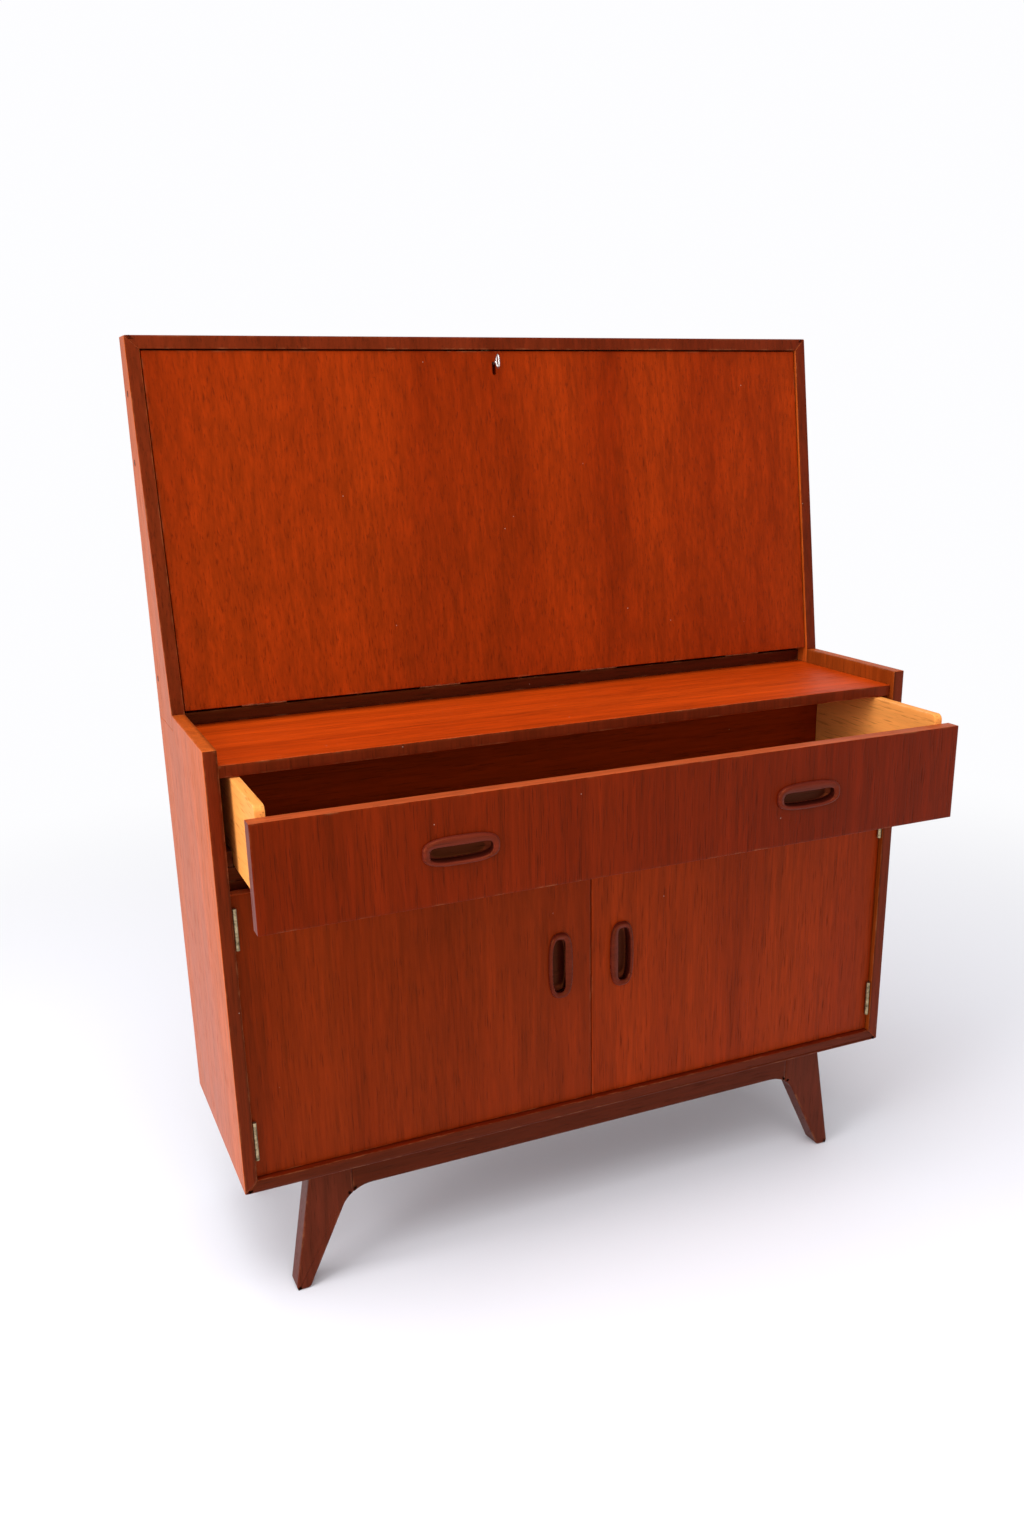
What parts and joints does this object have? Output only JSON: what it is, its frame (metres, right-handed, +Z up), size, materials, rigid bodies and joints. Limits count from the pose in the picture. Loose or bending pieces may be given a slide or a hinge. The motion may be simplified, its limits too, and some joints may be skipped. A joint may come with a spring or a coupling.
{
  "type": "secretary_desk",
  "caption": "Secretary desk: slant-front upper unit with a fold-down leaf, on a low cabinet with a drawer and two doors, on splayed legs.",
  "frame": {"origin": "floor level, under the middle of the desk's overall box with the drawer standing open 146 mm", "axes": "+X to the right seen from the front, +Y to the back, +Z up"},
  "size_m": [1.0008, 0.4646, 1.2345],
  "materials": {
    "teak": "satin oiled veneer, reddish orange",
    "teak_dark": "satin oiled solid wood, dark reddish brown",
    "pale_wood": "plain, waxed",
    "brass": "aged, satin",
    "steel": "satin",
    "catch_plastic": "matte"
  },
  "bodies": {
    "carcass": {"side_left": "teak", "side_right": "teak", "bottom_board": "teak", "ledge_board": "teak", "divider_board": "teak_dark", "stop_rail": "teak_dark", "case_back": "pale_wood", "cupboard_shelf": "teak", "shelf_pins": "brass", "drawer_guide_left": "teak_dark", "drawer_guide_right": "teak_dark", "leg_front_left": "teak_dark", "leg_front_right": "teak_dark", "leg_back_left": "teak_dark", "leg_back_right": "teak_dark", "front_rail": "teak_dark", "back_rail": "teak_dark", "side_rail_left": "teak_dark", "side_rail_right": "teak_dark", "frame_screws": "steel", "upper_side_left": "teak", "upper_side_right": "teak", "upper_top": "teak", "upper_floor": "teak", "upper_back": "pale_wood", "flap_stops": "teak_dark", "letter_shelf": "teak", "letter_divider_1": "teak", "letter_divider_2": "teak", "letter_divider_3": "teak", "side_plugs": "teak_dark", "case_dowels": "pale_wood", "door_hinge_plates": "brass", "door_hinge_pins": "steel", "flap_hinge_plates": "brass", "flap_hinge_pins": "steel", "strike_plate": "brass", "catch_housing": "catch_plastic"},
    "drawer": {"drawer_front": "teak", "drawer_side_left": "pale_wood", "drawer_side_right": "pale_wood", "drawer_back": "teak", "drawer_bottom": "teak", "drawer_pull_left": "teak_dark", "drawer_pull_right": "teak_dark"},
    "door_left": {"door_left": "teak", "door_pull_left": "teak_dark", "door_leaves_left": "brass", "catch_plate_left": "steel"},
    "door_right": {"door_right": "teak", "door_pull_right": "teak_dark", "door_leaves_right": "brass", "catch_plate_right": "steel"},
    "flap": {"flap_panel": "teak", "flap_leaves": "brass", "lock_case": "steel", "escutcheon": "brass"},
    "key": {"key": "steel"},
    "bolt": {"lock_bolt": "brass"}
  },
  "joints": [
    {"name": "drawer_slide", "type": "slide", "parent": "carcass", "child": "drawer", "axis": [0, -1, 0], "range_m": [-0.146, 0.08]},
    {"name": "door_left_hinge", "type": "hinge", "parent": "carcass", "child": "door_left", "pos_m": [-0.4798, -0.08375, 0.399], "axis": [0, 0, -1], "range_deg": [0, 95]},
    {"name": "door_right_hinge", "type": "hinge", "parent": "carcass", "child": "door_right", "pos_m": [0.4798, -0.08375, 0.399], "axis": [0, 0, 1], "range_deg": [0, 95]},
    {"name": "flap_hinge", "type": "hinge", "parent": "carcass", "child": "flap", "pos_m": [0, 0.14443, 0.7735], "axis": [1, 0, 0], "range_deg": [0, 98.64]},
    {"name": "key_turn", "type": "hinge", "parent": "flap", "child": "key", "pos_m": [-0.012, 0.19014, 1.20069], "axis": [0, 0.9886, -0.1503], "range_deg": [0, 90]},
    {"name": "bolt_slide", "type": "slide", "parent": "flap", "child": "bolt", "axis": [0, 0.1503, 0.9886], "range_m": [0, 0.012]}
  ],
  "couplings": [
    {"joint": "key_turn", "follows": "bolt_slide", "rad_per_m": 130.9}
  ]
}
